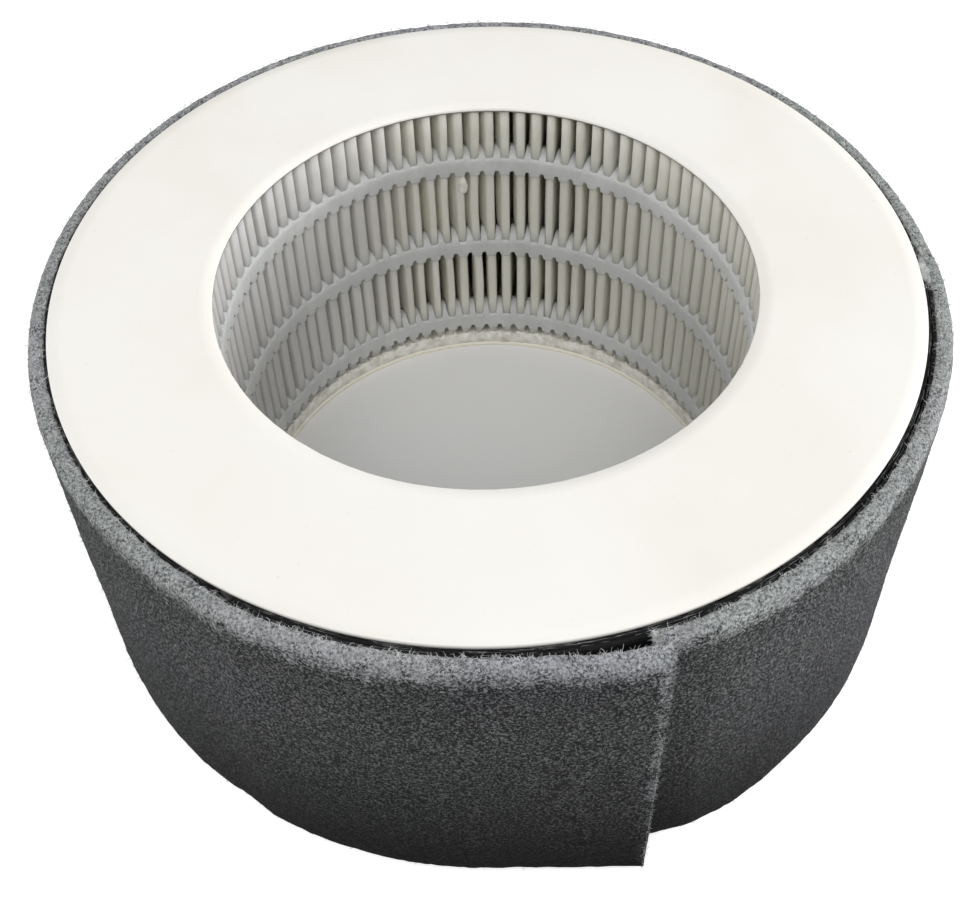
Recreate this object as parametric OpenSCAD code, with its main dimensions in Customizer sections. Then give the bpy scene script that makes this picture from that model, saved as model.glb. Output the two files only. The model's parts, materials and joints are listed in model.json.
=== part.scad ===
// Annular air filter. A pack of pleated paper stands between two flat end caps,
// held at its pitch by beads of glue, with a black carbon cloth and a grey
// felt pre-filter wound round the outside. Millimetres. The origin is on the
// axis, in the underside of the bottom cap, and -Y is the front.

/* [Ring] */
// Outside diameter of the end caps
ring_d = 180; // [160:1:240]
// Diameter of the hole through the end caps
hole_d = 113; // [90:1:125]
// Height over both end caps
height = 79; // [70:1:120]

/* [End caps] */
// Thickness of an end cap's sheet
cap_t = 1; // [0.5:0.1:2.5]

/* [Pleats] */
// Number of pleats in the ring
pleat_count = 98; // [60:1:108]
// Thickness of the paper
paper_t = 0.45; // [0.3:0.05:0.6]
// Width of a fold at the hole
inner_fold_w = 2; // [1.6:0.1:2.4]
// Width of a fold at the outside
outer_fold_w = 2.3; // [1.6:0.1:3.2]
// Height of a fold's crown above its shoulders
fold_crown = 0.35; // [0.1:0.05:0.6]
// Distance of the inner folds behind the edge of the hole
inner_setback = 0.5; // [0.4:0.05:2]
// Distance of the outer folds inside the edge of the caps
outer_setback = 1.4; // [0.8:0.1:4]

/* [Adhesive] */
// Thickness of the adhesive under the top cap
top_glue_t = 0.8; // [0.3:0.1:3]
// Thickness of the adhesive on the bottom cap
bottom_glue_t = 3; // [1:0.1:5]
// Distance of both adhesive layers inside the edge of the caps
glue_setback = 0.3; // [0.1:0.1:1.5]
// Distance of all the glue behind the edge of the hole
glue_face = 0.15; // [0.05:0.05:0.3]
// Height of a glue bead
bead_h = 4.8; // [3:0.1:6]
// Distance of the lowest bead above the bottom adhesive
low_bead_gap = 2.7; // [1:0.1:10]
// Distance of the highest bead below the top adhesive
top_bead_gap = 13.3; // [1:0.1:20]
// Distance that an inner bead runs into the pleats
bead_reach = 3.8; // [2:0.1:8]
// Distance of an outer bead inside the edge of the caps
outer_bead_gap = 0.2; // [0.1:0.05:0.5]
// Length of the glue in the seam of the paper, along a pleat's side
seam_glue_w = 5; // [2:0.5:12]

/* [Carbon cloth] */
// Thickness of the carbon cloth
carbon_t = 0.75; // [0.4:0.05:1.5]
// Direction in which the cloth's outer end lies
carbon_end = 0; // [-10:5:10]
// Angle over which the cloth is wound twice
carbon_lap = 120; // [95:5:150]
// Distance of the cloth's edge below the face of the top cap
carbon_top_gap = 1; // [0:0.1:3]
// Distance of the cloth's edge above the face of the bottom cap
carbon_bottom_gap = 0.6; // [0:0.1:3]

/* [Pre-filter felt] */
// Thickness of the felt
felt_t = 3.2; // [2:0.1:6]
// Direction in which the felt's loose end lies
felt_end = -72.5; // [-84:0.5:-66]
// Length over which the loose end laps the start
felt_lap = 3; // [1:0.5:8]
// Thickness of the felt's start, squeezed under the loose end
felt_start_t = 2; // [1:0.1:3]
// Angle over which the loose end lifts off
felt_lift = 15; // [8:1:20]
// Distance of the felt's edge below the face of the top cap
felt_top_gap = 0.4; // [0:0.1:3]
// Distance of the felt's edge above the face of the bottom cap
felt_bottom_gap = 0.3; // [0:0.1:3]
// Size of the soft corner on the felt's edges
felt_round = 0.8; // [0.3:0.1:0.9]

/* [Tape] */
// Thickness of the tape under a wrap
tape_t = 0.15; // [0.1:0.05:0.4]
// Distance of the tape's ends from the faces of the caps
tape_gap = 5; // [2:0.5:20]

/* [Hidden] */

// Facets of a round, and the angle that one flat of a wrap takes
round_fn = 72;
flat_a = 360 / round_fn;
// Play between a cap's edge and the cloth wound on it
wrap_play = 0.02;
// Distance by which each face of the felt steps in at its edges
felt_inset = felt_round / 2;

cap_r = ring_d / 2;
hole_r = hole_d / 2;
pleat_a = 360 / pleat_count;
fold_in_r = hole_r + inner_setback;
fold_out_r = cap_r - outer_setback;
pleat_z = cap_t + bottom_glue_t;
pleat_top = height - cap_t - top_glue_t;
low_bead_z = pleat_z + low_bead_gap + bead_h / 2;
top_bead_z = pleat_top - top_bead_gap - bead_h / 2;
mid_bead_z = (low_bead_z + top_bead_z) / 2;

// Half the angle that a width takes at a radius
function half_a(w, r) = asin(w / 2 / r);
function polar(r, a) = [r * cos(a), r * sin(a)];
function blend(p, q, f) = p + (q - p) * f;

// Corners of fold k at the hole, on the side that faces the hole
inner_a = half_a(inner_fold_w, fold_in_r + fold_crown);
function crown(k) = polar(fold_in_r, k * pleat_a);
function shoulder(k, side) = polar(fold_in_r + fold_crown, k * pleat_a + side * inner_a);

// Corners of the outer fold after fold k, on the side that faces the hole
valley_a = half_a(outer_fold_w - 2 * paper_t, fold_out_r - paper_t);
function valley(k, side) = polar(fold_out_r - paper_t, (k + 0.5) * pleat_a + side * valley_a);

// Corners of the same folds, on the side that faces out
back_a = half_a(inner_fold_w - 2 * paper_t, fold_in_r + fold_crown + paper_t);
outer_a = half_a(outer_fold_w, fold_out_r - fold_crown);
function back(k, side) = polar(fold_in_r + fold_crown + paper_t, k * pleat_a + side * back_a);
function out_shoulder(k, side) =
    polar(fold_out_r - fold_crown, (k + 0.5) * pleat_a + side * outer_a);
function out_crown(k) = polar(fold_out_r, (k + 0.5) * pleat_a);

hole_side = [
    for (k = [0 : pleat_count - 1])
        each [shoulder(k, -1), crown(k), shoulder(k, 1), valley(k, -1), valley(k, 1)]
];
out_side = [
    for (k = [0 : pleat_count - 1])
        each [back(k, -1), back(k, 1), out_shoulder(k, -1), out_crown(k), out_shoulder(k, 1)]
];

// A bead follows each fold and fills the space between two of them to its reach
bead_part = bead_reach / (fold_out_r - fold_in_r);
bead_r = (hole_r + glue_face) / cos(pleat_a);
bead_bore = [for (k = [0 : 2 : pleat_count - 1]) polar(bead_r, k * pleat_a)];
bead_edge = [
    for (k = [0 : pleat_count - 1]) each [
        shoulder(k, -1), crown(k), shoulder(k, 1),
        blend(shoulder(k, 1), valley(k, -1), bead_part),
        blend(shoulder(k + 1, -1), valley(k, 1), bead_part)
    ]
];

// The cloth's inner face starts on the caps and climbs onto its own start
flat_play = cos(flat_a / 2);
carbon_r = (cap_r + wrap_play) / flat_play;
turn = carbon_t + tape_t;
carbon_start = carbon_end - carbon_lap;
climb_end = carbon_start + 360;
function ramp(a, from, to) = min(1, max(0, (a - from) / (to - from)));
function carbon_in(a) = carbon_r + turn * ramp(a, climb_end - flat_a, climb_end);
// The corners of the cloth's flats from one angle to another, and the flat that ends before one
function flats(from, to) = [
    for (i = [ceil((from - carbon_start) / flat_a) : floor((to - carbon_start) / flat_a)])
        carbon_start + i * flat_a
];
function flat_before(a) = flats(a - 3 * flat_a, a - flat_a)[0];

// The felt's inner face lies on the cloth, drops past its end, climbs with it, then lifts off
felt_r = carbon_r + carbon_t + tape_t;
lap_a = felt_lap / felt_r * 180 / PI;
felt_start = felt_end - lap_a;
squeeze_end = felt_end + lap_a;
felt_stop = felt_end + 360;
lift_end = felt_start + 360;
lift_start = lift_end - felt_lift;
function doubled(a) =
    1 - ramp(a, carbon_end, carbon_end + flat_a) + ramp(a, climb_end - flat_a, climb_end);
function ease(f) = (1 - cos(180 * f)) / 2;
function felt_in(a) =
    felt_r + turn * doubled(a) + (felt_start_t + tape_t) * ease(ramp(a, lift_start, lift_end));
function felt_thick(a) =
    blend(felt_start_t, felt_t, ramp(a, squeeze_end, squeeze_end + flat_a));

lift_steps = 8;
angle_room = 0.2;
felt_angles = concat(
    [felt_start, squeeze_end],
    flats(squeeze_end + angle_room, carbon_end - angle_room),
    [carbon_end],
    flats(carbon_end + angle_room, carbon_end + flat_a - angle_room),
    [carbon_end + flat_a],
    flats(carbon_end + flat_a + angle_room, lift_start - angle_room),
    [for (i = [0 : lift_steps]) lift_start + felt_lift * i / lift_steps],
    [felt_stop]
);

// Outline of a strip between two radii at each angle
function strip(angles, inner, outer) = concat(
    [for (i = [0 : len(angles) - 1]) polar(inner[i], angles[i])],
    [for (i = [len(angles) - 1 : -1 : 0]) polar(outer[i], angles[i])]
);

module ring(outer_r, inner_r, z, h) {
    translate([0, 0, z])
        difference() {
            cylinder(h = h, r = outer_r, $fn = round_fn);
            translate([0, 0, -1]) cylinder(h = h + 2, r = inner_r, $fn = round_fn);
        }
}

module bottom_end_cap() {
    color("ivory") ring(cap_r, hole_r, 0, cap_t);
}

module top_end_cap() {
    color("ivory") ring(cap_r, hole_r, height - cap_t, cap_t);
}

module bottom_adhesive() {
    color("gainsboro") ring(cap_r - glue_setback, hole_r + glue_face, cap_t, bottom_glue_t);
}

module top_adhesive() {
    color("gainsboro") ring(cap_r - glue_setback, hole_r + glue_face, pleat_top, top_glue_t);
}

module pleat_pack() {
    color("whitesmoke")
        translate([0, 0, pleat_z])
            linear_extrude(pleat_top - pleat_z)
                difference() {
                    polygon(out_side);
                    polygon(hole_side);
                }
}

// The glue between the strip's two ends fills one pleat near its open side
module pleat_seam_adhesive() {
    seam_k = floor(pleat_count / 2);
    side_l = fold_out_r - fold_in_r;
    from = 1 - (seam_glue_w + outer_fold_w) / side_l;
    to = 1 - outer_fold_w / side_l;
    color("gainsboro")
        translate([0, 0, pleat_z])
            linear_extrude(pleat_top - pleat_z)
                polygon([
                    blend(back(seam_k, -1), out_shoulder(seam_k - 1, 1), from),
                    blend(back(seam_k, -1), out_shoulder(seam_k - 1, 1), to),
                    blend(back(seam_k, 1), out_shoulder(seam_k, -1), to),
                    blend(back(seam_k, 1), out_shoulder(seam_k, -1), from)
                ]);
}

module inner_glue_bead(z) {
    color("lightgray")
        translate([0, 0, z - bead_h / 2])
            linear_extrude(bead_h)
                difference() {
                    polygon(bead_edge);
                    polygon(bead_bore);
                }
}

module outer_glue_bead(z) {
    color("lightgray")
        ring(cap_r - outer_bead_gap, fold_out_r / flat_play, z - bead_h / 2, bead_h);
}

module carbon_wrap() {
    angles = concat(flats(carbon_start, carbon_end + 360 - angle_room), [carbon_end + 360]);
    inner = [for (a = angles) carbon_in(a)];
    outer = [for (a = angles) carbon_in(a) + carbon_t];
    color("black")
        translate([0, 0, carbon_bottom_gap])
            linear_extrude(height - carbon_top_gap - carbon_bottom_gap)
                polygon(strip(angles, inner, outer));
}

// A strip of tape over one flat, between two radii at its two edges
module tape(from, inner) {
    angles = [from, from + flat_a];
    outer = [for (r = inner) r + tape_t];
    color("wheat")
        translate([0, 0, tape_gap])
            linear_extrude(height - 2 * tape_gap)
                polygon(strip(angles, inner, outer));
}

module carbon_tape() {
    from = flat_before(carbon_end);
    tape(from, [for (a = [from, from + flat_a]) carbon_in(a) + carbon_t]);
}

module prefilter_wrap() {
    color("dimgray") {
        felt_layer(felt_bottom_gap, felt_round, felt_inset);
        felt_layer(felt_bottom_gap + felt_round,
            height - felt_top_gap - felt_bottom_gap - 2 * felt_round, 0);
        felt_layer(height - felt_top_gap - felt_round, felt_round, felt_inset);
    }
}

// A layer of the felt, with both faces moved in by an inset
module felt_layer(z, h, inset) {
    inner = [for (a = felt_angles) felt_in(a) + inset];
    outer = [for (a = felt_angles) felt_in(a) + felt_thick(a) - inset];
    translate([0, 0, z]) linear_extrude(h) polygon(strip(felt_angles, inner, outer));
}

module prefilter_tape() {
    from = flat_before(lift_start);
    tape(from, [for (a = [from, from + flat_a]) felt_in(a) - tape_t]);
}

bottom_end_cap();
top_end_cap();
bottom_adhesive();
top_adhesive();
pleat_pack();
pleat_seam_adhesive();
inner_glue_bead(top_bead_z);  // inner_glue_bead_upper
inner_glue_bead(mid_bead_z);  // inner_glue_bead_middle
inner_glue_bead(low_bead_z);  // inner_glue_bead_lower
outer_glue_bead(top_bead_z);  // outer_glue_bead_upper
outer_glue_bead(mid_bead_z);  // outer_glue_bead_middle
outer_glue_bead(low_bead_z);  // outer_glue_bead_lower
carbon_wrap();
carbon_tape();
prefilter_wrap();
prefilter_tape();
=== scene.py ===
import json
import math

import bpy
import numpy as np
from mathutils import Matrix, Vector, noise


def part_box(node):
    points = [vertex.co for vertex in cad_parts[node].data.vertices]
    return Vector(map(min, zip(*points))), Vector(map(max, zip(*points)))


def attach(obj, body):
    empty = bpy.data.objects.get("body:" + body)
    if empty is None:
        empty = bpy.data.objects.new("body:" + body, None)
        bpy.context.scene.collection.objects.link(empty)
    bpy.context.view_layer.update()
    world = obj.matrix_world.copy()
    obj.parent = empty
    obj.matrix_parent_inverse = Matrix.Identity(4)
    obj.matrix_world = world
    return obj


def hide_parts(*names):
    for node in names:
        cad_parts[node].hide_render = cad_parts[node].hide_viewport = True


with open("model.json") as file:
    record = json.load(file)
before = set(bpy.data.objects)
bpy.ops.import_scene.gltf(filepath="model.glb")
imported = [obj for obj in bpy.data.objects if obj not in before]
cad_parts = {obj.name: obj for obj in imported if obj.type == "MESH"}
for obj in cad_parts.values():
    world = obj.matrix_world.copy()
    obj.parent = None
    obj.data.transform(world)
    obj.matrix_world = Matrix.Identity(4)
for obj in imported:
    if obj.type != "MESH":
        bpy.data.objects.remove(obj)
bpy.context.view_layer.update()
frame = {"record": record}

# The ring filter's looks: pleated paper between two white caps, glue beads,
# a black carbon cloth and a grey felt round the outside. Metres.

MM = 0.001


# Helpers for numbers

def ramp(x, start, end):
    """0 up to start, 1 from end on, and rising evenly between them."""
    return np.clip((x - start) / (end - start), 0, 1)


def smooth(x):
    return x * x * (3 - 2 * x)


def mix(a, b, f):
    return a + (b - a) * f


# Sizes that follow from the frame

CAP_LOW, CAP_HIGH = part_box("top_end_cap")
HEIGHT = CAP_HIGH[2]
CAP_R = CAP_HIGH[0]
CAP_T = CAP_HIGH[2] - CAP_LOW[2]
BORE = next(m for m in frame["record"]["mounts"] if m["name"] == "centre_bore")
HOLE_R = BORE["dims"]["r_mm"] * MM
PAPER_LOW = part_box("pleat_pack")[0][2]
FOLD_OUT_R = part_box("pleat_pack")[1][0]
GLUE_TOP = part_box("bottom_adhesive")[1][2]
BEADS = {name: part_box("inner_glue_bead_" + name) for name in ("upper", "middle", "lower")}
CLOTH_LOW, CLOTH_HIGH = (p[2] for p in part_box("carbon_wrap"))
FELT_LOW, FELT_HIGH = (p[2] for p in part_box("prefilter_wrap"))

# Sizes of the pleats

PLEATS = 98
PLEAT_A = 2 * math.pi / PLEATS
PAPER_T = 0.45 * MM
FOLD_IN_R = HOLE_R + 0.5 * MM
FOLD_IN_W = 2.0 * MM
FOLD_OUT_W = 2.3 * MM

# How the folds vary: at random, and wider and flatter at the two sides of the ring. A crown is
# the depth of a fold's rounding as a share of its half width.

FOLD_TURNS = np.arange(PLEATS) * PLEAT_A
AT_SIDES = ramp(np.abs(np.cos(FOLD_TURNS)), 0.35, 0.8)
SIDE_WIDER = 0.42
CROWN, SIDE_CROWN = 0.8, 0.25
FOLD_CROWN = mix(CROWN, SIDE_CROWN, AT_SIDES)

rng = np.random.default_rng(18)
FOLD_SHIFT = rng.normal(0, 0.13 * MM, PLEATS) / FOLD_IN_R
FOLD_WIDTH = FOLD_IN_W * (1 + rng.uniform(-0.12, 0.14, PLEATS)) * (1 + SIDE_WIDER * AT_SIDES)
FOLD_DEPTH = rng.uniform(0, 0.3 * MM, PLEATS)
FOLD_WAVE = rng.normal(0, 0.16 * MM, PLEATS)

# How far the pleats' sides bow round the ring: in waves and at random, over a share of their
# depth, in full above the heights of BOW_RISE and less below them

BOW_WAVES = 5
FOLD_BOW = 1.35 * MM + 0.25 * MM * np.sin(FOLD_TURNS * BOW_WAVES)
FOLD_BOW = FOLD_BOW + rng.uniform(-0.12 * MM, 0.12 * MM, PLEATS)
BOW_DEPTH = 0.45
BOW_RISE = (28 * MM, 42 * MM)
LOW_BOW = 0.3
SIDE_STEPS = (0.05, 0.12, 0.2, 0.3, 0.45, 0.7)

# How far the glue of each bead climbs the spaces between the folds, and reaches into them

BEAD_CLIMB = {"upper": 2.2 * MM, "middle": 2.8 * MM, "lower": 3.4 * MM}
FOLD_CLIMB = 0.8 * MM
BEAD_REACH, FOLD_REACH = 4.6 * MM, 0.75 * MM
CLIMB_STEPS = (0.06, 0.2, 0.42, 0.7, 1.0)

# Sizes of the two wraps. FLAT_A is the angle of one flat of the CAD's wraps, over which a wrap
# climbs or drops by TURN, a turn of the cloth with its tape.

CLOTH_T = 0.75 * MM
TAPE_T = 0.15 * MM
TURN = CLOTH_T + TAPE_T
FLAT_A = math.radians(5)
CLOTH_R = (CAP_R + 0.02 * MM) / math.cos(FLAT_A / 2)
CLOTH_END = 0.0
CLOTH_STOP = CLOTH_END + 2 * math.pi
CLOTH_START = CLOTH_END - math.radians(120)
CLOTH_CLIMB = CLOTH_START + 2 * math.pi

# The felt's loose end lifts off to lap its start, which is squeezed thinner. The start that is
# seen lies nearer to the loose end's edge than the CAD's does.

FELT_R = CLOTH_R + TURN
FELT_T = 3.2 * MM
FELT_START_T = 2.0 * MM
FELT_END = math.radians(-72.5)
LAP_A = 3.0 * MM / FELT_R
SEEN_LAP_A = 1.2 * MM / FELT_R
FELT_START = FELT_END - LAP_A
SEEN_START = FELT_END - SEEN_LAP_A
FELT_STOP = FELT_END + 2 * math.pi
LIFT_END = FELT_START + 2 * math.pi
LIFT_START = LIFT_END - math.radians(15)

# How far the loose end stands out at its foot, and leans round the ring at its top and its foot

END_FLARE = 2.8 * MM
TOP_LEAN, FOOT_LEAN = math.radians(0.7), math.radians(-0.49)

# The names of the felt's mask of its cut edges, and of the plain directions and tones

CUT_EDGE = "cut_edge"
UP = np.array([0, 0, 1.0])
WHITE = (1, 1, 1)


# Helpers for shapes

def noise_at(points, size, seed):
    """Smooth noise from about -1 to 1 at each point, whose bumps are size metres wide."""
    shift = Vector((seed, seed * 1.7, -seed))
    return np.array([noise.noise(Vector(p) / size + shift) for p in points])


def make_piece(name, points, faces, material):
    mesh = bpy.data.meshes.new(name)
    mesh.from_pydata([tuple(p) for p in points], [], [tuple(f) for f in faces])
    mesh.validate()
    mesh.materials.append(material)
    mesh.polygons.foreach_set("use_smooth", [True] * len(mesh.polygons))
    mesh.update()
    piece = bpy.data.objects.new(name, mesh)
    bpy.context.scene.collection.objects.link(piece)
    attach(piece, "root")
    return piece


def sweep_faces(across, along, closed_along):
    """Quads of a closed outline of so many points, swept along so many steps."""
    faces = []
    for j in range(along if closed_along else along - 1):
        k = (j + 1) % along
        for i in range(across):
            m = (i + 1) % across
            faces.append((j * across + i, j * across + m, k * across + m, k * across + i))
    return faces


def polar(r, a, z):
    r, a, z = np.broadcast_arrays(r, a, z)
    return np.stack([r * np.cos(a), r * np.sin(a), z], axis=-1)


def directions(a):
    """The outward and the tangent direction at each angle."""
    out = np.stack([np.cos(a), np.sin(a), 0 * a], axis=1)
    return out, np.stack([-out[:, 1], out[:, 0], 0 * a], axis=1)


def even_angles(steps):
    return np.arange(steps) * 2 * math.pi / steps


def ring_points(profile, angles):
    """The points of a section, given as (r, z) pairs, at each angle round the ring."""
    return np.stack([polar(r, angles, z) for r, z in profile], axis=1).reshape(-1, 3)


def make_ring(name, points, across, material):
    """A closed ring from ring_points, with so many points across its section."""
    faces = sweep_faces(across, len(points) // across, True)
    return make_piece(name, points, faces, material)


def lump_points(centre, out, tangent, sizes, waist=0.0):
    """An egg's points and faces: sizes are its half depth, half width and half height."""
    rings, sides = 12, 18
    points, faces = [], []
    for i in range(rings + 1):
        down = math.pi * i / rings
        swell = math.sin(down) * (1 - waist * math.cos(down))
        for j in range(sides):
            turn = 2 * math.pi * j / sides
            points.append(centre + out * sizes[0] * swell * math.cos(turn)
                          + tangent * sizes[1] * swell * math.sin(turn)
                          + UP * sizes[2] * math.cos(down))
    for i in range(rings):
        for j in range(sides):
            m = (j + 1) % sides
            faces.append((i * sides + j, i * sides + m, (i + 1) * sides + m, (i + 1) * sides + j))
    return np.array(points), faces


# Helpers for materials

def tone(level, tint=WHITE):
    return tuple(level * part for part in tint)


def new_material(name, rough, specular, sheen=0.0):
    material = bpy.data.materials.new(name)
    material.use_nodes = True
    shader = material.node_tree.nodes["Principled BSDF"]
    shader.inputs["Roughness"].default_value = rough
    shader.inputs["Specular IOR Level"].default_value = specular
    shader.inputs["Sheen Weight"].default_value = sheen
    return material, material.node_tree, shader


def feed(tree, value, socket):
    """Gives an input the output of another node or a plain value."""
    if isinstance(value, bpy.types.NodeSocket):
        tree.links.new(value, socket)
    else:
        socket.default_value = value


def math_value(tree, operation, *values):
    """The result of a math node over other nodes' outputs and plain numbers."""
    node = tree.nodes.new("ShaderNodeMath")
    node.operation = operation
    for value, socket in zip(values, node.inputs):
        feed(tree, value, socket)
    return node.outputs[0]


def scaled_sum(tree, a, a_scale, b, b_scale, offset):
    """a * a_scale + b * b_scale + offset, held from 0 to 1."""
    first = math_value(tree, "MULTIPLY_ADD", a, a_scale, offset)
    total = math_value(tree, "MULTIPLY_ADD", b, b_scale, first)
    total.node.use_clamp = True
    return total


def noise_value(tree, size, detail=2.0, roughness=0.5, stretch=(1, 1, 1)):
    """Noise in the object's own coordinates, with features about size metres wide."""
    coords = tree.nodes.new("ShaderNodeTexCoord")
    scale = tree.nodes.new("ShaderNodeMapping")
    scale.inputs["Scale"].default_value = stretch
    texture = tree.nodes.new("ShaderNodeTexNoise")
    texture.inputs["Scale"].default_value = 1 / size
    texture.inputs["Detail"].default_value = detail
    texture.inputs["Roughness"].default_value = roughness
    tree.links.new(coords.outputs["Object"], scale.inputs["Vector"])
    tree.links.new(scale.outputs["Vector"], texture.inputs["Vector"])
    return texture.outputs["Fac"]


def colour_ramp(tree, source, stops):
    """The colours of a ramp over source, from (place, (r, g, b)) stops."""
    node = tree.nodes.new("ShaderNodeValToRGB")
    elements = node.color_ramp.elements
    while len(elements) < len(stops):
        elements.new(0.5)
    for element, (place, colour) in zip(elements, stops):
        element.position = place
        element.color = (*colour, 1)
    tree.links.new(source, node.inputs["Fac"])
    return node.outputs["Color"]


def mix_colours(tree, a, b, factor, mode="MIX"):
    node = tree.nodes.new("ShaderNodeMix")
    node.data_type = "RGBA"
    node.blend_type = mode
    for value, name in ((a, "A"), (b, "B"), (factor, "Factor")):
        feed(tree, value, node.inputs[name])
    return node.outputs["Result"]


def multiply_colours(tree, colour, *layers):
    for layer in layers:
        colour = mix_colours(tree, colour, layer, 1.0, "MULTIPLY")
    return colour


def add_bump(tree, shader, height, distance, strength, below=None):
    """Bumps of a height noise, over those of another bump node where one is given."""
    node = tree.nodes.new("ShaderNodeBump")
    node.inputs["Distance"].default_value = distance
    node.inputs["Strength"].default_value = strength
    tree.links.new(height, node.inputs["Height"])
    if below is not None:
        tree.links.new(below.outputs["Normal"], node.inputs["Normal"])
    tree.links.new(node.outputs["Normal"], shader.inputs["Normal"])
    return node


def span_mask(tree, value, low, high):
    """0 where a value is below low, 1 where it is above high."""
    node = tree.nodes.new("ShaderNodeMapRange")
    node.interpolation_type = "SMOOTHSTEP"
    node.inputs["From Min"].default_value = low
    node.inputs["From Max"].default_value = high
    tree.links.new(value, node.inputs["Value"])
    return node.outputs["Result"]


def axis_value(tree, axis):
    """A point's place along X, Y or Z, in the object's own coordinates."""
    coords = tree.nodes.new("ShaderNodeTexCoord")
    split = tree.nodes.new("ShaderNodeSeparateXYZ")
    tree.links.new(coords.outputs["Object"], split.inputs["Vector"])
    return split.outputs[axis]


def height_mask(tree, low, high):
    return span_mask(tree, axis_value(tree, "Z"), low, high)


def radius_mask(tree, low, high):
    coords = tree.nodes.new("ShaderNodeTexCoord")
    flat = tree.nodes.new("ShaderNodeVectorMath")
    flat.operation = "MULTIPLY"
    flat.inputs[1].default_value = (1, 1, 0)
    tree.links.new(coords.outputs["Object"], flat.inputs[0])
    length = tree.nodes.new("ShaderNodeVectorMath")
    length.operation = "LENGTH"
    tree.links.new(flat.outputs["Vector"], length.inputs[0])
    return span_mask(tree, length.outputs["Value"], low, high)


def let_light_through(tree, shader, colour, share):
    """Mixes the shader with a translucent one of the same colour."""
    through = tree.nodes.new("ShaderNodeBsdfTranslucent")
    tree.links.new(colour, through.inputs["Color"])
    both = tree.nodes.new("ShaderNodeMixShader")
    both.inputs["Fac"].default_value = share
    tree.links.new(shader.outputs["BSDF"], both.inputs[1])
    tree.links.new(through.outputs["BSDF"], both.inputs[2])
    tree.links.new(both.outputs["Shader"], tree.nodes["Material Output"].inputs["Surface"])


# Materials

def cap_material(name, edge_shade):
    """White sheet. Below its top corner, the cut edge round the hole has painted shade, darker by a
    factor.
    """
    material, tree, shader = new_material(name, rough=0.62, specular=0.25)
    sheet = colour_ramp(tree, noise_value(tree, 45 * MM, detail=3), [
        (0.3, (0.86, 0.835, 0.775)), (0.5, (0.9, 0.88, 0.83)), (0.7, (0.92, 0.905, 0.86))])
    specks = colour_ramp(tree, noise_value(tree, 1.6 * MM, detail=2, roughness=0.7), [
        (0.2, (0.9, 0.89, 0.87)), (0.29, WHITE), (1.0, WHITE)])
    # Painted shade on the cut edge round the hole, below the top cap's upper corner; a factor of 1
    # leaves only a cream tint.
    away = radius_mask(tree, HOLE_R + 0.12 * MM, HOLE_R + 0.3 * MM)
    above = height_mask(tree, HEIGHT - 0.75 * MM, HEIGHT - 0.5 * MM)
    painted_edge_shade = colour_ramp(tree, math_value(tree, "MAXIMUM", away, above), [
        (0.0, tone(edge_shade, tint=(1, 0.97, 0.88))), (1.0, WHITE)])
    colour = multiply_colours(tree, sheet, specks, painted_edge_shade)
    tree.links.new(colour, shader.inputs["Base Color"])
    fibre = noise_value(tree, 0.5 * MM, detail=4, roughness=0.65)
    add_bump(tree, shader, fibre, distance=0.05 * MM, strength=0.5)
    return material


def soaked_stops():
    """Where up the ring the paper takes the glue's tone: behind each bead, fading above it."""
    soaked, fading = (0.66, 0.68, 0.7), (0.86, 0.87, 0.88)
    stops = []
    for name in ("lower", "middle", "upper"):
        low, top = (corner[2] for corner in BEADS[name])
        stops += [(low + 1.4 * MM, WHITE), (low + 1.8 * MM, soaked), (top - 0.3 * MM, soaked),
                  (top + 1.6 * MM, fading), (top + 4 * MM, WHITE)]
    return [(z / HEIGHT, colour) for z, colour in stops]


def paper_material():
    """Cream paper that lets light through, with painted shade that makes it darker at both sides of
    the ring and cooler at the left.
    """
    material, tree, shader = new_material("filter_paper", rough=0.9, specular=0.15)
    streaks = colour_ramp(tree, noise_value(tree, 3 * MM, detail=3, stretch=(1, 1, 0.12)), [
        (0.3, (0.9, 0.885, 0.81)), (0.55, (0.945, 0.935, 0.875)), (0.75, (0.96, 0.955, 0.92))])
    # Painted shade across the ring: darker and bluer at the left wall, a little darker at the right.
    across = span_mask(tree, axis_value(tree, "X"), -HOLE_R, HOLE_R)
    sides = colour_ramp(tree, across, [
        (0.0, (0.86, 0.86, 0.91)), (0.3, WHITE), (0.7, WHITE), (1.0, (0.92, 0.92, 0.91))])
    share = math_value(tree, "DIVIDE", axis_value(tree, "Z"), HEIGHT)
    glued = colour_ramp(tree, share, soaked_stops())
    colour = multiply_colours(tree, streaks, sides, glued)
    tree.links.new(colour, shader.inputs["Base Color"])
    let_light_through(tree, shader, colour, share=0.36)
    fibre = noise_value(tree, 0.35 * MM, detail=3, roughness=0.7)
    add_bump(tree, shader, fibre, distance=0.06 * MM, strength=0.6)
    return material


def glue_material():
    material, tree, shader = new_material("bead_glue", rough=0.5, specular=0.3)
    colour = colour_ramp(tree, noise_value(tree, 6 * MM, detail=3), [
        (0.3, (0.53, 0.54, 0.535)), (0.55, (0.575, 0.585, 0.58)), (0.75, (0.62, 0.63, 0.62))])
    tree.links.new(colour, shader.inputs["Base Color"])
    ripple = noise_value(tree, 1.8 * MM, detail=2)
    add_bump(tree, shader, ripple, distance=0.12 * MM, strength=0.5)
    return material


def potting_material():
    material, tree, shader = new_material("potting_glue", rough=0.38, specular=0.5)
    colour = colour_ramp(tree, noise_value(tree, 2.2 * MM, detail=4, roughness=0.6), [
        (0.32, (0.6, 0.58, 0.5)), (0.5, (0.8, 0.78, 0.71)), (0.66, (0.92, 0.91, 0.87))])
    tree.links.new(colour, shader.inputs["Base Color"])
    lumps = noise_value(tree, 1.1 * MM, detail=3)
    add_bump(tree, shader, lumps, distance=0.35 * MM, strength=0.8)
    return material


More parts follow.
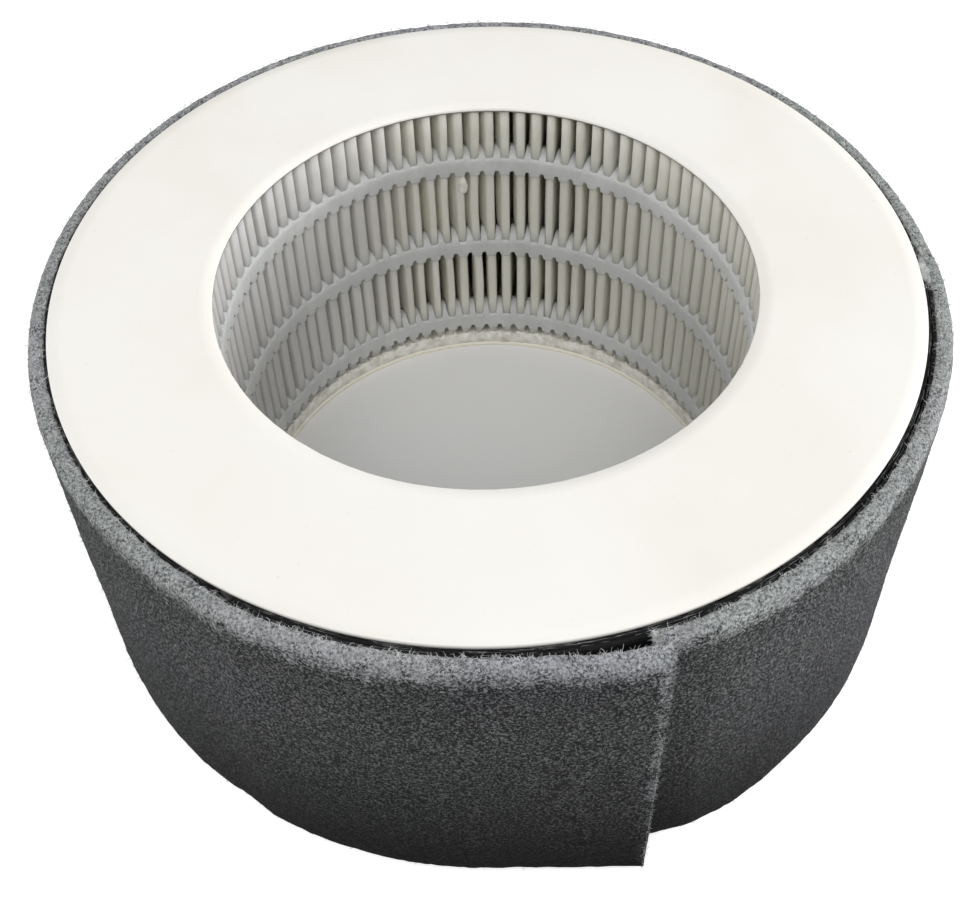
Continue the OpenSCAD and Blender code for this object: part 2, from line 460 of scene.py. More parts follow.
def carbon_material():
    material, tree, shader = new_material("carbon_cloth", rough=0.72, specular=0.25)
    grain = noise_value(tree, 0.45 * MM, detail=3, roughness=0.7)
    colour = colour_ramp(tree, grain, [
        (0.35, (0.003, 0.003, 0.004)), (0.62, (0.009, 0.009, 0.01)), (0.8, (0.05, 0.05, 0.05))])
    tree.links.new(colour, shader.inputs["Base Color"])
    add_bump(tree, shader, grain, distance=0.15 * MM, strength=0.8)
    return material


def tape_material():
    material, tree, shader = new_material("tape", rough=0.5, specular=0.4)
    colour = colour_ramp(tree, noise_value(tree, 5 * MM, detail=2), [
        (0.35, (0.7, 0.62, 0.44)), (0.65, (0.78, 0.7, 0.52))])
    tree.links.new(colour, shader.inputs["Base Color"])
    return material


def grain_ramp(tree, specks, dark, middle, pale):
    """Bluish grains of three levels of grey."""
    return colour_ramp(tree, specks, [
        (0.38, tone(dark, tint=(1, 1.04, 1.05))), (0.5, tone(middle, tint=(1, 1.04, 1.05))),
        (0.62, tone(pale, tint=(1, 1.01, 1.03)))])


def felt_material():
    """Salt-and-pepper felt, pale at its fuzzy cut edges (partly a painted highlight), with painted
    shade that darkens it low down, most at the front.
    """
    material, tree, shader = new_material("felt", rough=0.95, specular=0.06, sheen=0.03)
    shader.inputs["Sheen Roughness"].default_value = 0.6
    specks = noise_value(tree, 0.55 * MM, detail=3, roughness=0.8)
    patches = noise_value(tree, 3.4 * MM, detail=4, roughness=0.62)
    cut = tree.nodes.new("ShaderNodeAttribute")
    cut.attribute_name = CUT_EDGE
    # Paler at the cut edges: partly the felt's own pale fibres, partly a painted highlight where the
    # edges catch the light.
    border = scaled_sum(tree, patches, 1.3, specks, 1.5, -0.9)
    pale = scaled_sum(tree, border, 2.4, cut.outputs["Fac"], 1.8, -1.95)
    side = grain_ramp(tree, specks, dark=0.009, middle=0.037, pale=0.25)
    rim = grain_ramp(tree, specks, dark=0.15, middle=0.29, pale=0.5)
    colour = mix_colours(tree, side, rim, pale)
    tint = colour_ramp(tree, noise_value(tree, 55 * MM, detail=2), [
        (0.35, (0.95, 1.0, 0.95)), (0.52, WHITE), (0.68, (1.03, 1.03, 1.09))])
    colour = multiply_colours(tree, colour, tint)
    # Painted shade: darker towards the felt's foot, in full at the front and at three tenths of that
    # elsewhere.
    shade = colour_ramp(tree, height_mask(tree, FELT_LOW - 5 * MM, FELT_HIGH - 18 * MM), [
        (0.0, tone(0.05)), (1.0, WHITE)])
    front = colour_ramp(tree, span_mask(tree, axis_value(tree, "Y"), -FELT_R, -0.45 * FELT_R), [
        (0.0, WHITE), (1.0, tone(0.3))])
    colour = mix_colours(tree, colour, multiply_colours(tree, colour, shade), front)
    tree.links.new(colour, shader.inputs["Base Color"])
    wool = noise_value(tree, 1.6 * MM, detail=4, roughness=0.7)
    soft = add_bump(tree, shader, wool, distance=0.5 * MM, strength=0.7)
    add_bump(tree, shader, specks, distance=0.25 * MM, strength=0.8, below=soft)
    return material


def fibre_material(name, dark, pale, foot=1.0):
    """Fibres of two mixed tones, whose colour is multiplied by foot at the felt's lower edge, as
    painted shade.
    """
    material, tree, shader = new_material(name, rough=0.8, specular=0.1, sheen=0.05)
    tones = colour_ramp(tree, noise_value(tree, 2 * MM, detail=2), [(0.35, dark), (0.65, pale)])
    shade = colour_ramp(tree, height_mask(tree, FELT_LOW - 5 * MM, FELT_HIGH - 12 * MM), [
        (0.0, tone(foot)), (1.0, WHITE)])
    colour = multiply_colours(tree, tones, shade)
    tree.links.new(colour, shader.inputs["Base Color"])
    return material


# The camera, at the photograph's angle

def add_camera():
    """The pose fitted to the photograph's circles, for a cap of radius CAP_R."""
    image_w = 970
    focal_px = 1412.3
    pitch, yaw, roll = 0.8752, -0.0056, -0.0325
    back, above = 2.4016 * CAP_R, 2.2427 * CAP_R
    forward = Vector((
        math.sin(yaw) * math.cos(pitch), math.cos(yaw) * math.cos(pitch), -math.sin(pitch)))
    level = forward.cross(Vector((0, 0, 1))).normalized()
    upright = level.cross(forward)
    right = math.cos(roll) * level + math.sin(roll) * upright
    up = math.cos(roll) * upright - math.sin(roll) * level
    data = bpy.data.cameras.new("camera")
    data.sensor_width = 36
    data.lens = data.sensor_width * focal_px / image_w
    data.clip_start = 0.01
    camera = bpy.data.objects.new("camera", data)
    turn = Matrix((right, up, -forward)).transposed()
    camera.matrix_world = Matrix.Translation((0, -back, HEIGHT + above)) @ turn.to_4x4()
    bpy.context.scene.collection.objects.link(camera)
    bpy.context.scene.camera = camera


# The end caps

def add_cap(name, node, low, material, seed):
    """A flat ring of sheet with softened edges, cut a little unevenly round the hole."""
    soft = 0.18 * MM
    middle = np.linspace(HOLE_R, CAP_R, 12)[1:-1]
    profile = [(HOLE_R, soft), (HOLE_R + 0.05 * MM, CAP_T - soft), (HOLE_R + soft, CAP_T)]
    profile += [(r, CAP_T) for r in middle]
    profile += [(CAP_R - soft, CAP_T), (CAP_R, CAP_T - soft), (CAP_R, soft), (CAP_R - soft, 0)]
    profile += [(r, 0) for r in middle[::-1]] + [(HOLE_R + soft, 0)]
    points = ring_points([(r, z + low) for r, z in profile], even_angles(4 * PLEATS))
    r = np.hypot(points[:, 0], points[:, 1])
    near_hole = 1 - smooth(ramp(r, HOLE_R, HOLE_R + 3 * MM))
    cut = (0.1 * noise_at(points, 2.2 * MM, seed) + 0.08 * noise_at(points, 0.8 * MM, seed)) * MM
    points[:, :2] *= (1 + np.abs(cut) * near_hole / r)[:, None]
    piece = make_ring(name, points, len(profile), material)
    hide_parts(node)


def add_top_glue(material):
    """The glue under the top cap, set back behind the folds."""
    low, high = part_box("top_adhesive")
    inner, outer = FOLD_IN_R + 1.2 * MM, high[0]
    profile = [(inner, low[2]), (inner, high[2]), (outer, high[2]), (outer, low[2])]
    points = ring_points(profile, even_angles(2 * PLEATS))
    piece = make_ring("top_glue_layer", points, len(profile), material)
    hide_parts("top_adhesive")


# The pleated paper

def fold_angles(z):
    """The angle of each inner fold at a height. The folds sway between the beads, not at them."""
    middle = np.mean([p[2] for p in BEADS["middle"]])
    pitch = np.mean([p[2] for p in BEADS["upper"]]) - middle
    sway = FOLD_WAVE * math.sin(math.pi * (z - middle) / pitch) / FOLD_IN_R
    return FOLD_TURNS + FOLD_SHIFT + sway


def fold_arc(angle, r, half, crown, steps):
    """A rounded fold as (r, angle) points, whose tip is at r and whose ends lie crown away."""
    bend = np.radians(np.linspace(-90, 90, steps))
    r = r + crown * (1 - np.cos(bend))
    return np.stack([r, angle + half * np.sin(bend) / r], axis=1)


def bowed_side(start, end, bow):
    """Points between a side's two ends, pushed round the ring by bow where it bows."""
    points = []
    for f in SIDE_STEPS:
        r, a = mix(start, end, f)
        depth = (r - FOLD_IN_R) / (FOLD_OUT_R - FOLD_IN_R)
        wave = math.sin(math.pi * min(1, depth / BOW_DEPTH)) ** 2
        points.append([r, a + bow * wave / r])
    return np.array(points)


def paper_line(z):
    """The middle of the paper at a height, as (x, y) points round the ring."""
    turns = fold_angles(z)
    after = np.append(turns[1:], turns[0] + 2 * math.pi)
    bows = FOLD_BOW * mix(LOW_BOW, 1.0, smooth(ramp(z, *BOW_RISE)))
    halves = (FOLD_WIDTH - PAPER_T) / 2
    half_out = (FOLD_OUT_W - PAPER_T) / 2
    inner = [
        fold_arc(turns[k], FOLD_IN_R + FOLD_DEPTH[k] + PAPER_T / 2, halves[k],
                 FOLD_CROWN[k] * halves[k], steps=9)
        for k in range(PLEATS)]
    inner.append(inner[0] + [0, 2 * math.pi])
    lines = []
    for k in range(PLEATS):
        outer = fold_arc((turns[k] + after[k]) / 2, FOLD_OUT_R - PAPER_T / 2, half_out,
                         -CROWN * half_out, steps=5)
        lines += [inner[k], bowed_side(inner[k][-1], outer[0], bows[k])]
        lines += [outer, bowed_side(outer[-1], inner[k + 1][0], bows[(k + 1) % PLEATS])]
    line = np.concatenate(lines)
    return np.stack([line[:, 0] * np.cos(line[:, 1]), line[:, 0] * np.sin(line[:, 1])], axis=1)


def paper_faces(rows, count):
    """Quads of the paper's two sides and two edges, over two lines of points in each row."""
    faces = []
    for row in range(rows - 1):
        a, b = 2 * row * count, (2 * row + 1) * count
        c, d = a + 2 * count, b + 2 * count
        for i in range(count):
            j = (i + 1) % count
            faces.append((a + j, a + i, c + i, c + j))
            faces.append((b + i, b + j, d + j, d + i))
    top = 2 * (rows - 1) * count
    for i in range(count):
        j = (i + 1) % count
        faces.append((i, j, count + j, count + i))
        faces.append((top + j, top + i, top + count + i, top + count + j))
    return faces


def add_paper(material):
    rows = 13
    points = []
    for z in np.linspace(PAPER_LOW, HEIGHT - CAP_T, rows):
        line = paper_line(z)
        along = np.roll(line, -1, axis=0) - np.roll(line, 1, axis=0)
        along /= np.linalg.norm(along, axis=1)[:, None]
        side = np.stack([-along[:, 1], along[:, 0]], axis=1)
        for offset in (PAPER_T / 2, -PAPER_T / 2):
            points.append(np.column_stack([line + side * offset, np.full(len(line), z)]))
    faces = paper_faces(rows, len(line))
    piece = make_piece("pleated_paper", np.concatenate(points), faces, material)
    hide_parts("pleat_pack")


# The glue

def valley_share(angle, z, edge, full):
    """0 on an inner fold and 1 in the space between two folds, from shares of a pleat's angle."""
    centres = fold_angles(z)
    turns = (angle[:, None] - centres[None, :] + math.pi) % (2 * math.pi) - math.pi
    return smooth(ramp(np.abs(turns).min(axis=1) / PLEAT_A, edge, full))


def add_bead(name, material):
    """A toothed band, arched at its foot over each space and climbing into it at its top."""
    low, high = (corner[2] for corner in BEADS[name])
    middle = (low + high) / 2
    angles = even_angles(20 * PLEATS)
    valley = valley_share(angles, middle, edge=0.28, full=0.4)
    filled = valley_share(angles, middle, edge=0.25, full=0.31)
    ring = polar(HOLE_R, angles, low)
    wave = noise_at(ring, 14 * MM, seed=3.1)
    ripple = noise_at(ring, 2.5 * MM, seed=5.7)
    face = HOLE_R + 0.16 * MM + 0.05 * MM * wave + 0.08 * MM * valley
    floor = low + 0.12 * MM * wave + valley * (1.2 * MM + 0.25 * MM * ripple)
    roof = high - 0.6 * MM + 0.3 * MM * wave + 0.3 * MM * ripple
    climb = mix(FOLD_CLIMB, BEAD_CLIMB[name], filled)
    reach = mix(FOLD_REACH, BEAD_REACH, filled)
    lip = 0.4 * MM
    profile = [
        (face + 0.5 * lip, floor - 0.02 * MM), (face + 0.1 * lip, floor + 0.3 * lip),
        (face, floor + lip), (face, mix(floor, roof, 0.5)), (face, roof - lip)]
    for f in CLIMB_STEPS:
        profile.append((face + reach * f, roof + climb * math.sqrt(1 - (1 - f) ** 2)))
    profile += [
        (face + reach, mix(floor, roof, 0.5)), (face + reach, floor + 0.5 * MM * valley),
        (face + 0.5 * reach, floor + 0.25 * MM * valley)]
    points = ring_points(profile, angles)
    piece = make_ring("glue_band_" + name, points, len(profile), material)
    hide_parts("inner_glue_bead_" + name)


def add_drop(material):
    """A drop of glue that ran down a fold below the upper bead."""
    angle = np.array([math.radians(94.8)])
    out, tangent = (d[0] for d in directions(angle))
    deep, wide, tall = 0.7 * MM, 1.1 * MM, 2.9 * MM
    centre = polar(HOLE_R + 0.75 * MM, angle[0], BEADS["upper"][0][2] - tall + 0.2 * MM)
    points, faces = lump_points(centre, out, tangent, (deep, wide, tall), waist=0.4)
    points += 0.12 * MM * noise_at(points, 1.2 * MM, seed=2.0)[:, None]
    make_piece("glue_drop", points, faces, material)


def add_collar(material):
    """The uneven adhesive that stands round the feet of the pleats."""
    angles = even_angles(8 * PLEATS)
    valley = valley_share(angles, GLUE_TOP, edge=0.22, full=0.42)
    ring = polar(HOLE_R, angles, CAP_T)
    lumps = noise_at(ring, 3.0 * MM, seed=8.0)
    small = noise_at(ring, 1.1 * MM, seed=4.0)
    face = HOLE_R + 0.15 * MM + 0.12 * MM * (1 + lumps)
    top = GLUE_TOP + 0.35 * MM * lumps + 0.3 * MM * small + 0.9 * MM * (1 - valley)
    shelf = CAP_T + 1.4 * MM
    back = CAP_R - 0.3 * MM
    profile = [
        (face + 0.25 * MM, CAP_T), (face + 0.02 * MM, CAP_T + 0.5 * MM),
        (face + 0.1 * MM * small, shelf), (face + 0.06 * MM * lumps, mix(shelf, top, 0.55)),
        (face + 0.15 * MM, top - 0.5 * MM), (face + 0.5 * MM, top - 0.1 * MM),
        (face + 1.1 * MM, top), (face + 2.2 * MM, top - 0.25 * MM * valley),
        (face + 4.5 * MM, GLUE_TOP - 0.4 * MM * valley), (face + 9 * MM, GLUE_TOP),
        (back, GLUE_TOP), (back, CAP_T),
    ]
    points = ring_points(profile, angles)
    piece = make_ring("glue_collar", points, len(profile), material)
    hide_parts("bottom_adhesive")


# The two wraps

def cloth_in(a):
    """The radius of the cloth's inner face at an angle from its start."""
    return CLOTH_R + TURN * ramp(a, CLOTH_CLIMB - FLAT_A, CLOTH_CLIMB)


def felt_in(a):
    """The radius of the felt's inner face, which follows the cloth and then lifts off."""
    doubled = 1 - ramp(a, CLOTH_END, CLOTH_END + FLAT_A)
    doubled = doubled + ramp(a, CLOTH_CLIMB - FLAT_A, CLOTH_CLIMB)
    lift = (1 - np.cos(math.pi * ramp(a, LIFT_START, LIFT_END))) / 2
    return FELT_R + TURN * doubled + (FELT_START_T + TAPE_T) * lift


def felt_thick(a):
    squeezed = ramp(a, FELT_END + LAP_A, FELT_END + LAP_A + FLAT_A)
    return mix(FELT_START_T, FELT_T, squeezed)


def felt_swell(points):
    """How far the felt's outer face swells slowly in and out."""
    return 0.35 * MM * noise_at(points, 26 * MM, seed=1.0)


def felt_fall(z):
    """0 at the felt's top edge and 1 at its foot."""
    return ramp(FELT_HIGH - z, 0, FELT_HIGH - FELT_LOW)


def end_flare(a, z):
    """How far the loose end stands out, most at the foot of its end."""
    return END_FLARE * ramp(a, LIFT_START, FELT_STOP) ** 4 * felt_fall(z)


def end_lean(a, z):
    """The angle by which the loose end leans: on at its top and back at its foot."""
    return mix(TOP_LEAN, FOOT_LEAN, felt_fall(z)) * ramp(a, LIFT_START, FELT_STOP) ** 2


def corner_inset(edge, soft):
    """How far a face is rounded back at a distance from its edge."""
    return soft * (1 - np.sqrt(1 - (1 - ramp(edge, 0, soft)) ** 2))


def strip_points(angles, inner, thick, span, rows, rim, soft_in, soft_out):
    """The rounded section of a strip at each angle, and each point's share of its thickness."""
    low, high = span
    column = np.linspace(-1, 1, rows)
    column = np.sign(column) * (1 - (1 - np.abs(column)) ** 1.8)
    z = (low + high) / 2 + column * (high - low) / 2
    edge = np.minimum(z - low, high - z)
    across = np.linspace(0, 1, rim + 2)[1:-1]
    section = [(1.0, -i, h) for i, h in zip(corner_inset(edge, soft_out), z)]
    section += [(1 - f, mix(-soft_out, soft_in, f), high) for f in across]
    section += [(0.0, i, h) for i, h in zip(corner_inset(edge, soft_in), z[::-1])]
    section += [(f, mix(soft_in, -soft_out, f), low) for f in across]
    share, shift, height = (np.array(values)[None, :] for values in zip(*section))
    r = inner[:, None] + share * thick[:, None] + shift
    points = polar(r, angles[:, None], height)
    return points.reshape(-1, 3), np.broadcast_to(share, r.shape).reshape(-1)


def end_faces(start, rows, rim, flip):
    """Faces that close a strip's section whose first point is start."""
    faces = []
    for i in range(rows - 1):
        j = 2 * rows + rim - 1 - i
        faces.append((start + i, start + i + 1, start + j - 1, start + j))
    faces.append(tuple(start + rows - 1 + i for i in range(rim + 2)))
    faces.append((*(start + 2 * rows + rim - 1 + i for i in range(rim + 1)), start))
    return [f[::-1] for f in faces] if flip else faces


def strip_faces(rows, rim, steps):
    across = 2 * (rows + rim)
    faces = sweep_faces(across, steps, False)
    faces += end_faces(0, rows, rim, False)
    faces += end_faces((steps - 1) * across, rows, rim, True)
    return faces


def mark_cut_edges(piece, a, z):
    """Marks the points near the felt's two ends and its top edge, for its material, which paints them
    paler: partly the felt's own pale fibres, partly a painted highlight.
    """
    from_end = np.minimum(np.abs(a - SEEN_START), np.abs(a - FELT_STOP)) * FELT_R
    near_end = 0.72 * (1 - smooth(ramp(from_end, 0, 4.5 * MM)))
    near_top = smooth(ramp(z, FELT_HIGH - 9.5 * MM, FELT_HIGH))
    mask = piece.data.attributes.new(CUT_EDGE, "FLOAT", "POINT")
    mask.data.foreach_set("value", np.maximum(near_end, near_top))


def add_felt(material):
    """The felt, uneven on its outer face and its top edge, with its loose end leaning out."""
    steps, rows, rim = 520, 46, 7
    angles = np.linspace(SEEN_START, FELT_STOP, steps)
    points, share = strip_points(
        angles, felt_in(angles), felt_thick(angles), (FELT_LOW, FELT_HIGH), rows, rim,
        soft_in=0.6 * MM, soft_out=1.35 * MM)
    a = np.repeat(angles, 2 * (rows + rim))
    z = points[:, 2].copy()
    outside = smooth(ramp(share, 0.2, 0.8))
    edge = ramp(z, FELT_HIGH - 2 * MM, FELT_HIGH)
    wool = noise_at(points, 3.2 * MM, seed=9.0)
    fine = noise_at(points, 1.3 * MM, seed=6.0)
    out = outside * (felt_swell(points) + (0.16 * wool + 0.14 * fine) * MM)
    out -= (1 - outside) * edge * (0.7 * np.abs(wool) + 0.5 * np.abs(fine)) * MM
    out -= outside * edge * (0.9 + 0.5 * wool) * MM
    r = np.hypot(points[:, 0], points[:, 1]) + out + end_flare(a, z)
    rise = edge * (0.2 * wool + 0.22 * fine - 0.15) * MM
    points = polar(r, a + end_lean(a, z), z + rise)
    piece = make_piece("felt_wrap", points, strip_faces(rows, rim, steps), material)
    mark_cut_edges(piece, a, z + rise)
    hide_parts("prefilter_wrap")
    return piece


def add_cloth(material):
    """The cloth, wound once and a third, with a ragged groove along its cut edge."""
    steps, rows, rim = 560, 12, 5
    soft = 0.12 * MM
    angles = np.linspace(CLOTH_START, CLOTH_STOP, steps)
    points, share = strip_points(
        angles, cloth_in(angles), np.full(steps, CLOTH_T), (CLOTH_LOW, CLOTH_HIGH), rows, rim,
        soft_in=soft, soft_out=soft)
    edge = ramp(points[:, 2], CLOTH_HIGH - 0.5 * MM, CLOTH_HIGH)
    ragged = noise_at(points, 0.9 * MM, seed=2.0)
    groove = np.abs(share - 0.5) < 0.09
    points[:, 2] += edge * (0.18 * ragged - 0.28 * groove) * MM
    faces = strip_faces(rows, rim, steps)
    piece = make_piece("carbon_cloth", points, faces, material)
    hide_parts("carbon_wrap")


# Fibres, as thin three-sided tubes

def tubes(path, normal, width):
    """Tapered tubes along paths, given as an array of fibres by points by 3."""
    count, spots = path.shape[:2]
    normals = np.broadcast_to(normal, (count, 3))
    along = np.gradient(path, axis=1)
    along /= np.linalg.norm(along, axis=2)[:, :, None]
    side = np.cross(along, normals[:, None, :])
    side /= np.maximum(np.linalg.norm(side, axis=2), 1e-6)[:, :, None]
    over = np.cross(side, along)
    taper = np.linspace(1, 0.35, spots)[None, :, None]
    rings = []
    for corner in range(3):
        turn = 2 * math.pi * corner / 3
        rings.append(path + (side * math.cos(turn) + over * math.sin(turn)) * taper * width / 2)
    points = np.stack(rings, axis=2).reshape(-1, 3)
    one = np.array([
        (3 * s + c, 3 * s + (c + 1) % 3, 3 * s + 3 + (c + 1) % 3, 3 * s + 3 + c)
        for s in range(spots - 1) for c in range(3)])
    offsets = np.arange(count) * 3 * spots
    return points, (one[None] + offsets[:, None, None]).reshape(-1, 4).tolist()


def curly_paths(starts, headings, lengths, segments, curl, seed):
    """Paths that each start at a point, run along a heading and bend as they go."""
    draw = np.random.default_rng(seed)
    spots = [starts]
    heading = headings / np.linalg.norm(headings, axis=1)[:, None]
    bend = draw.normal(0, curl, starts.shape)
    for _ in range(segments):
        bend = 0.6 * bend + draw.normal(0, curl, starts.shape)
        heading = heading + bend
        heading /= np.linalg.norm(heading, axis=1)[:, None]
        spots.append(spots[-1] + heading * (lengths / segments)[:, None])
    return np.stack(spots, axis=1)


def make_fibres(name, path, normal, width, material):
    points, faces = tubes(path, normal, width)
    return make_piece(name, points, faces, material)


def add_rim_fuzz(material):
    """Pale fibres over the felt's top edge, thickest where it meets the black cloth."""
    draw = np.random.default_rng(5)
    count = 7600
    a = draw.uniform(SEEN_START, FELT_STOP, count)
    share = draw.beta(0.5, 0.9, count)
    shoulder = 0.9 * MM * np.abs(2 * share - 1) ** 3
    starts = polar(felt_in(a) + share * felt_thick(a), a, FELT_HIGH - 0.1 * MM - shoulder)
    out, tangent = directions(a)
    sway = draw.normal(0, 1, (count, 3))
    lean = np.where(share < 0.3, -0.25, 0.25)[:, None] * out
    heading = tangent * 1.3 * sway[:, :1] + out * 0.5 * sway[:, 1:2] + lean
    heading += UP * 0.15 * np.abs(sway[:, 2:3])
    lengths = draw.uniform(0.4, 1.6, count) * MM
    path = curly_paths(starts, heading, lengths, segments=4, curl=0.65, seed=6)
    path[:, :, 2] = np.minimum(path[:, :, 2], HEIGHT + 0.3 * MM)
    return make_fibres("felt_rim_fibres", path, UP, 0.09 * MM, material)


def add_wisps(material):
    """Bright loose curls, in tufts, that hang from the felt's top edge over the black cloth."""
    draw = np.random.default_rng(21)
    candidates, extra = 7000, 90
    a = draw.uniform(SEEN_START, FELT_STOP, candidates)
    tuft = noise_at(polar(CAP_R, a, 0), 2.2 * MM, seed=2.0)
    a = a[tuft + draw.normal(0, 0.25, candidates) > 0.05]
    at_start = SEEN_START + draw.uniform(-0.2, 0.8, extra) * MM / FELT_R
    a = np.concatenate([a, at_start])
    count = len(a)
    inward = draw.uniform(0, 0.9, count) * MM
    inward[-extra:] = draw.uniform(0, 2.0, extra) * MM
    starts = polar(felt_in(a) + inward, a, FELT_HIGH - 0.2 * MM)
    out, tangent = directions(a)
    sway = draw.normal(0, 1, (count, 3))
    heading = tangent * sway[:, :1] - out * (0.5 + 0.7 * np.abs(sway[:, 1:2]))
    heading[:, 2] += 0.15 * sway[:, 2]
    lengths = draw.uniform(0.3, 1.8, count) * MM
    path = curly_paths(starts, heading, lengths, segments=4, curl=0.7, seed=22)
    path[:, :, 2] = np.clip(path[:, :, 2], CLOTH_HIGH + 0.1 * MM, HEIGHT + 0.25 * MM)
    return make_fibres("felt_wisps", path, UP, 0.1 * MM, material)


def add_side_fuzz(material):
    """Short fibres that lie over the felt's outer face."""
    draw = np.random.default_rng(9)
    count = 7400
    a = draw.uniform(SEEN_START, FELT_STOP, count)
    z = draw.uniform(FELT_LOW + 0.5 * MM, FELT_HIGH - 0.5 * MM, count)
    starts = polar(felt_in(a) + felt_thick(a) - 0.05 * MM + end_flare(a, z), a, z)
    out, tangent = directions(a)
    starts += out * felt_swell(starts)[:, None]
    sway = draw.normal(0, 1, (count, 3))
    heading = tangent * sway[:, :1] + out * 0.3 * np.abs(sway[:, 2:3])
    heading[:, 2] += sway[:, 1]
    lengths = draw.uniform(0.4, 1.4, count) * MM
    path = curly_paths(starts, heading, lengths, segments=3, curl=0.75, seed=10)
    path[:, :, 2] = np.maximum(path[:, :, 2], 0.1 * MM)
    return make_fibres("felt_side_fibres", path, out, 0.11 * MM, material)


def add_end_fuzz(material):
    """Pale fibres along the loose end's cut edge."""
    draw = np.random.default_rng(31)
    count = 900
    rooted = 0.004
    z = draw.uniform(FELT_LOW + 0.3 * MM, FELT_HIGH - 0.3 * MM, count)
    share = draw.uniform(0.45, 1.0, count)
    end = np.full(count, FELT_STOP)
    a = end + end_lean(end, z) - rooted
    starts = polar(felt_in(end) + share * felt_thick(end) + end_flare(end, z), a, z)
    out, tangent = directions(a)
    sway = draw.normal(0, 1, (count, 3))
    heading = tangent * 0.6 + out * (0.35 + 0.5 * sway[:, 1:2])
    heading[:, 2] += sway[:, 2]
    lengths = draw.uniform(0.5, 1.3, count) * MM
    path = curly_paths(starts, heading, lengths, segments=3, curl=0.5, seed=32)
    return make_fibres("felt_end_fibres", path, out, 0.08 * MM, material)


def add_layer_threads(material):
    """Broken pale threads that run along the cut edge of the black cloth."""
    draw = np.random.default_rng(12)
    count, spots = 230, 14
    longest = 9 * MM / CLOTH_R
    a = draw.uniform(CLOTH_START, CLOTH_STOP - longest, count)
    span = draw.uniform(0.1, 1.0, count) * longest
    share = draw.choice([0.12, 0.45, 0.8], count) + draw.normal(0, 0.03, count)
    turns = a[:, None] + span[:, None] * np.linspace(0, 1, spots)
    wander = 0.05 * MM * np.sin(turns * 160 + a[:, None] * 50)
    r = cloth_in(turns) + share[:, None] * CLOTH_T + wander
    path = polar(r, turns, CLOTH_HIGH + 0.04 * MM)
    make_fibres("cloth_layer_threads", path, UP, 0.075 * MM, material)


def add_lint(material):
    """A crumpled tuft of lint and glue where the black cloth ends."""
    draw = np.random.default_rng(14)
    count = 320
    out, tangent = (d[0] for d in directions(np.array([CLOTH_STOP])))
    middle = polar(CAP_R + 1.0 * MM, CLOTH_STOP - 0.018, HEIGHT - 0.75 * MM)
    deep, wide, tall = 0.85 * MM, 4.2 * MM, 0.65 * MM
    lump, faces = lump_points(middle, out, tangent, (deep, wide, tall))
    lump += 0.45 * MM * noise_at(lump, 0.8 * MM, seed=3.0)[:, None] * (lump - middle) / MM
    a = CLOTH_STOP + draw.normal(-0.02, 0.03, count)
    starts = polar(CAP_R + draw.uniform(0.3, 1.6, count) * MM, a, HEIGHT - 0.5 * MM)
    heading = draw.normal(0, 1, (count, 3))
    heading[:, 2] = np.abs(heading[:, 2]) * 0.3
    lengths = draw.uniform(0.4, 1.3, count) * MM
    path = curly_paths(starts, heading, lengths, segments=4, curl=0.6, seed=15)
    path[:, :, 2] = np.minimum(path[:, :, 2], HEIGHT + 0.3 * MM)
    points, hairs = tubes(path, UP, 0.09 * MM)
    faces += [tuple(len(lump) + i for i in f) for f in hairs]
    make_piece("cloth_end_lint", np.concatenate([lump, points]), faces, material)


# The stage and the light

def stage_material():
    """A floor that shows white to the camera outside the ring, and plain grey inside the hole.

    To other rays it is dark outside, so that little light comes back to the felt's foot.
    """
    given, shown, in_hole, glow = 0.18, 0.95, 0.85, 0.42
    material, tree, shader = new_material("floor", rough=0.9, specular=0.1)
    light = tree.nodes.new("ShaderNodeLightPath")
    seen = light.outputs["Is Camera Ray"]
    for other in ("Is Glossy Ray", "Is Transmission Ray"):
        seen = math_value(tree, "MAXIMUM", seen, light.outputs[other])
    outside = radius_mask(tree, HOLE_R, HOLE_R + 2 * MM)
    ground = colour_ramp(tree, seen, [(0.0, tone(given)), (1.0, tone(shown))])
    colour = mix_colours(tree, (*tone(in_hole), 1), ground, outside)
    tree.links.new(colour, shader.inputs["Base Color"])
    shader.inputs["Emission Color"].default_value = (*WHITE, 1)
    strength = math_value(tree, "MULTIPLY", math_value(tree, "MULTIPLY", seen, outside), glow)
    tree.links.new(strength, shader.inputs["Emission Strength"])
    return material


def add_stage():
    size = 4.0
    mesh = bpy.data.meshes.new("floor")
    corners = [(-size, -size, 0), (size, -size, 0), (size, size, 0), (-size, size, 0)]
    mesh.from_pydata(corners, [], [(0, 1, 2, 3)])
    mesh.materials.append(stage_material())
    floor = bpy.data.objects.new("floor", mesh)
    bpy.context.scene.collection.objects.link(floor)


def add_lamp(name, place, size, watts):
    """A round lamp aimed at the middle of the ring."""
    data = bpy.data.lights.new(name, "AREA")
    data.shape = "DISK"
    data.size = size
    data.energy = watts
    lamp = bpy.data.objects.new(name, data)
    place = Vector(place)
    aim = Vector((0, 0, HEIGHT / 2)) - place
    lamp.matrix_world = (
        Matrix.Translation(place) @ aim.to_track_quat("-Z", "Y").to_matrix().to_4x4())
    bpy.context.scene.collection.objects.link(lamp)


def add_world():
    """A white surrounding that gives less light than it shows to the camera."""
    given, shown = 0.58, 1.0
    world = bpy.data.worlds.new("soft_room")
    world.use_nodes = True
    tree = world.node_tree
    background = tree.nodes["Background"]
    light = tree.nodes.new("ShaderNodeLightPath")
    level = tree.nodes.new("ShaderNodeMapRange")
    level.inputs["To Min"].default_value = given
    level.inputs["To Max"].default_value = shown
    tree.links.new(light.outputs["Is Camera Ray"], level.inputs["Value"])
    tree.links.new(level.outputs["Result"], background.inputs["Strength"])
    background.inputs["Color"].default_value = (*WHITE, 1)
    bpy.context.scene.world = world


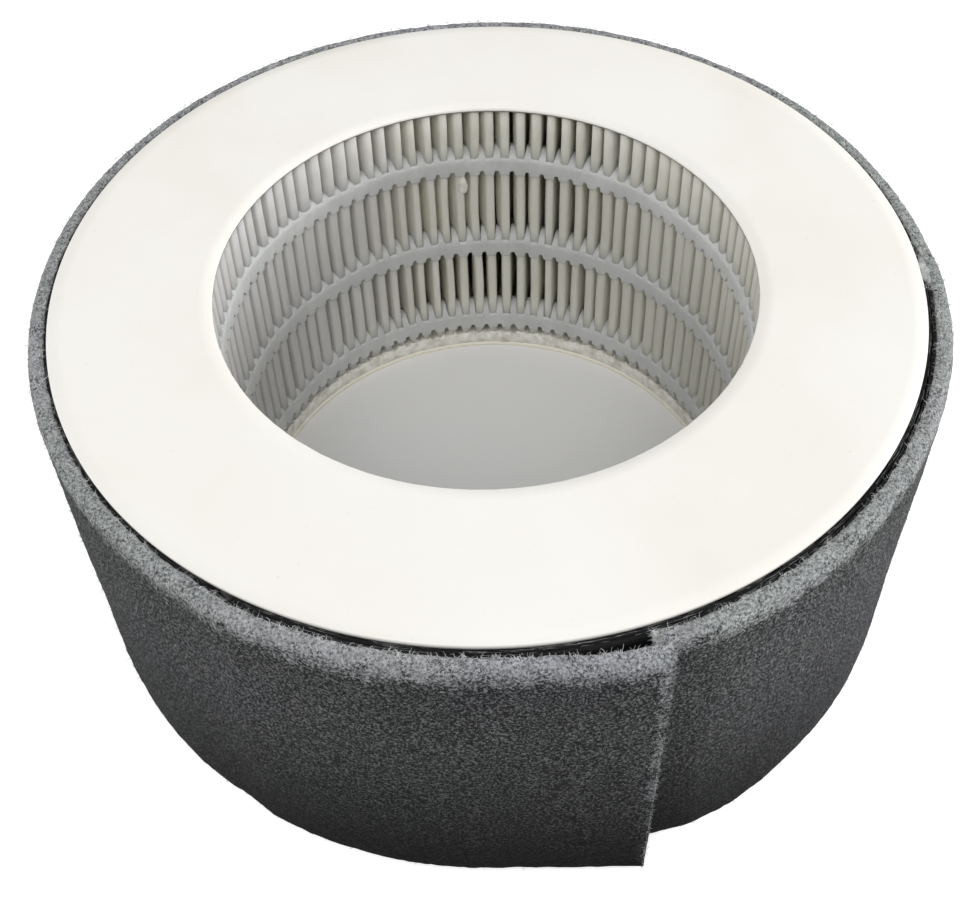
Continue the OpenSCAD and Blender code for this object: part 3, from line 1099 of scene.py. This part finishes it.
def add_light():
    add_world()
    add_lamp("high_front", (0.0, -0.75, 1.1), size=0.8, watts=5.6)
    add_lamp("low_right", (1.2, 0.05, 0.3), size=0.6, watts=11.5)
    add_lamp("low_left", (-1.2, 0.05, 0.3), size=0.6, watts=4.6)


# Nodes that keep their own shape

def dress_nodes(looks):
    """Gives hidden nodes their material, from (node, material) pairs."""
    for node, material in looks:
        mesh = bpy.data.objects[node].data
        mesh.materials.clear()
        mesh.materials.append(material)


# All of it

def add_caps_and_pleats(glue, potting):
    top_sheet = cap_material("top_cap_sheet", edge_shade=0.14)
    bottom_sheet = cap_material("bottom_cap_sheet", edge_shade=1.0)
    add_cap("top_cap_sheet", "top_end_cap", HEIGHT - CAP_T, top_sheet, seed=11.0)
    add_cap("bottom_cap_sheet", "bottom_end_cap", 0.0, bottom_sheet, seed=23.0)
    add_top_glue(glue)
    add_paper(paper_material())
    for name in BEADS:
        add_bead(name, glue)
    add_drop(potting)
    add_collar(potting)


def add_wraps():
    pale = fibre_material("pale_fibre", (0.34, 0.35, 0.35), (0.68, 0.69, 0.69))
    # The grey fibres lie on the felt's face and carry its painted shade at the foot.
    grey = fibre_material("grey_fibre", (0.07, 0.075, 0.08), (0.46, 0.47, 0.48), foot=0.1)
    bright = fibre_material("bright_fibre", (0.35, 0.36, 0.36), (0.88, 0.89, 0.88))
    thread = fibre_material("scrim_thread", tone(0.03), tone(0.42))
    add_cloth(carbon_material())
    felt = add_felt(felt_material())
    rim_fuzz = add_rim_fuzz(pale)
    side_fuzz = add_side_fuzz(grey)
    end_fuzz = add_end_fuzz(pale)
    wisps = add_wisps(bright)
    add_layer_threads(thread)
    add_lint(pale)


def build():
    add_camera()
    glue = glue_material()
    tape = tape_material()
    add_caps_and_pleats(glue, potting_material())
    add_wraps()
    dress_nodes([
        ("pleat_seam_adhesive", glue), ("outer_glue_bead_upper", glue),
        ("outer_glue_bead_middle", glue), ("outer_glue_bead_lower", glue),
        ("carbon_tape", tape), ("prefilter_tape", tape)])
    add_stage()
    add_light()
    bpy.context.scene.view_settings.view_transform = "Standard"
    bpy.context.scene.cycles.diffuse_bounces = 12


build()
